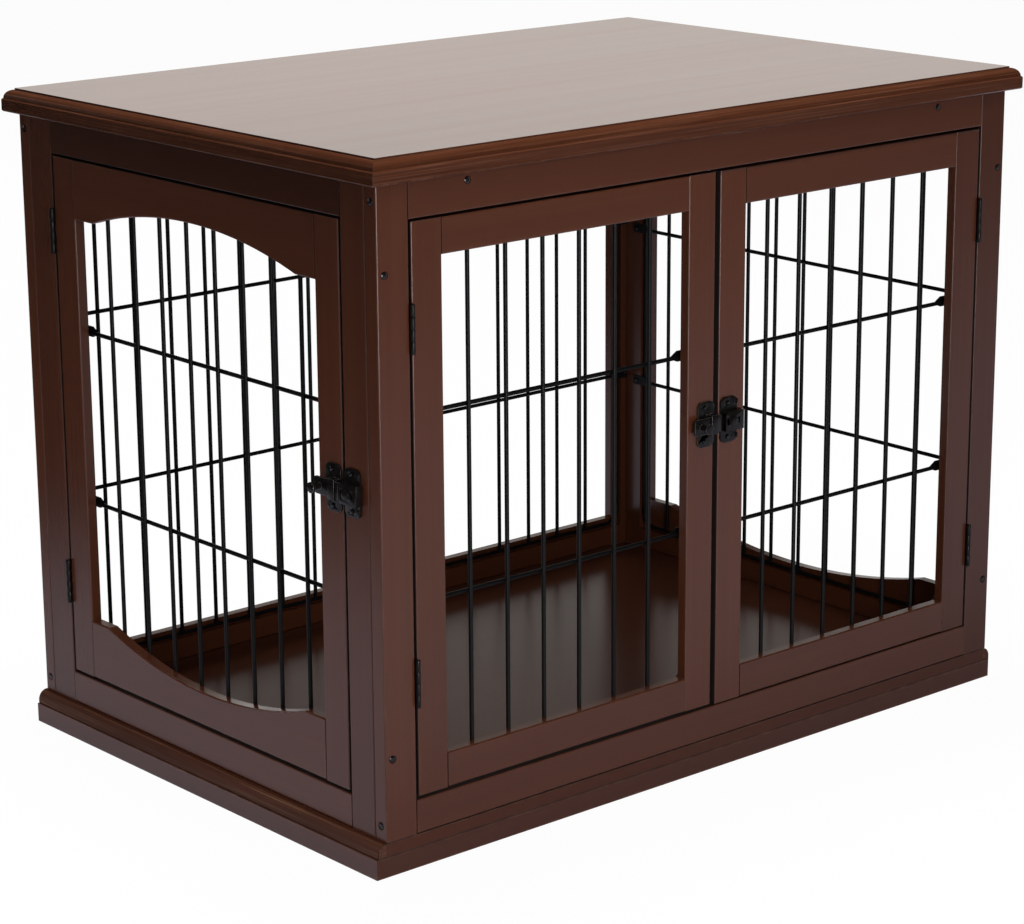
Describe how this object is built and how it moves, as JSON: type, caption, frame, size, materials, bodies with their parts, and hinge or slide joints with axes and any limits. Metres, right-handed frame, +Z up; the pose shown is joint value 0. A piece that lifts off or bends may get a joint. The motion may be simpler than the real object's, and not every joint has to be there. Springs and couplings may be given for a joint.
{
  "type": "pet crate",
  "caption": "Furniture-style pet crate with a table top, wire-grid walls, double front doors and one arched side door, each closed by a slide bolt.",
  "frame": {"origin": "middle of the footprint at floor level", "axes": "+X right along the long front, +Y towards the back, +Z up; the double doors face -Y and the single door faces -X"},
  "size_m": [0.816, 0.57, 0.63],
  "materials": {
    "top_wood": "dark red-brown stain under gloss lacquer",
    "frame_wood": "dark red-brown stain under gloss lacquer",
    "base_wood": "dark red-brown stain under gloss lacquer",
    "inner_wood": "dark stain, thin lacquer",
    "wire": "satin black coating",
    "hinge_metal": "semi-gloss black coating",
    "latch_metal": "semi-gloss black coating",
    "screws": "black coating",
    "pin_steel": "darkened steel"
  },
  "bodies": {
    "cabinet": {"top_board": "top_wood", "floor_board": "base_wood", "base_front_rail": "base_wood", "base_back_rail": "base_wood", "base_left_rail": "base_wood", "base_right_rail": "base_wood", "front_batten": "inner_wood", "back_batten": "inner_wood", "front_left_stile": "frame_wood", "front_right_stile": "frame_wood", "front_top_rail": "frame_wood", "front_bottom_rail": "frame_wood", "back_left_stile": "frame_wood", "back_right_stile": "frame_wood", "back_top_rail": "frame_wood", "back_bottom_rail": "frame_wood", "back_grid": "wire", "left_front_stile": "frame_wood", "left_back_stile": "frame_wood", "left_top_rail": "frame_wood", "left_bottom_rail": "frame_wood", "right_front_stile": "frame_wood", "right_back_stile": "frame_wood", "right_top_rail": "frame_wood", "right_bottom_rail": "frame_wood", "right_grid": "wire", "frame_screws": "screws", "grid_screws": "screws", "frame_hinge_screws": "screws", "frame_hinge_leaves": "hinge_metal", "hinge_pins": "pin_steel", "side_keeper": "latch_metal", "side_keeper_screws": "screws"},
    "left_door": {"left_door_hinge_stile": "frame_wood", "left_door_lock_stile": "frame_wood", "left_door_top_rail": "frame_wood", "left_door_bottom_rail": "frame_wood", "left_door_grid": "wire", "left_door_hinge_leaves": "hinge_metal", "front_bolt_plate": "latch_metal", "left_door_screws": "screws"},
    "right_door": {"right_door_hinge_stile": "frame_wood", "right_door_lock_stile": "frame_wood", "right_door_top_rail": "frame_wood", "right_door_bottom_rail": "frame_wood", "right_door_grid": "wire", "right_door_hinge_leaves": "hinge_metal", "front_keeper": "latch_metal", "right_door_screws": "screws"},
    "side_door": {"side_door_hinge_stile": "frame_wood", "side_door_lock_stile": "frame_wood", "side_door_top_rail": "frame_wood", "side_door_bottom_rail": "frame_wood", "side_door_grid": "wire", "side_door_hinge_leaves": "hinge_metal", "side_bolt_plate": "latch_metal", "side_door_screws": "screws"},
    "front_bolt": {"front_bolt": "latch_metal"},
    "side_bolt": {"side_bolt": "latch_metal"}
  },
  "joints": [
    {"name": "left_door_hinge", "type": "hinge", "parent": "cabinet", "child": "left_door", "pos_m": [-0.35825, -0.273, 0.319], "axis": [0, 0, -1], "range_deg": [0, 170]},
    {"name": "right_door_hinge", "type": "hinge", "parent": "cabinet", "child": "right_door", "pos_m": [0.35825, -0.273, 0.319], "axis": [0, 0, 1], "range_deg": [0, 170]},
    {"name": "side_door_hinge", "type": "hinge", "parent": "cabinet", "child": "side_door", "pos_m": [-0.396, 0.21675, 0.319], "axis": [0, 0, -1], "range_deg": [0, 170]},
    {"name": "front_bolt_slide", "type": "slide", "parent": "left_door", "child": "front_bolt", "axis": [1, 0, 0], "range_m": [0, 0.009]},
    {"name": "side_bolt_slide", "type": "slide", "parent": "side_door", "child": "side_bolt", "axis": [0, -1, 0], "range_m": [0, 0.009]}
  ]
}
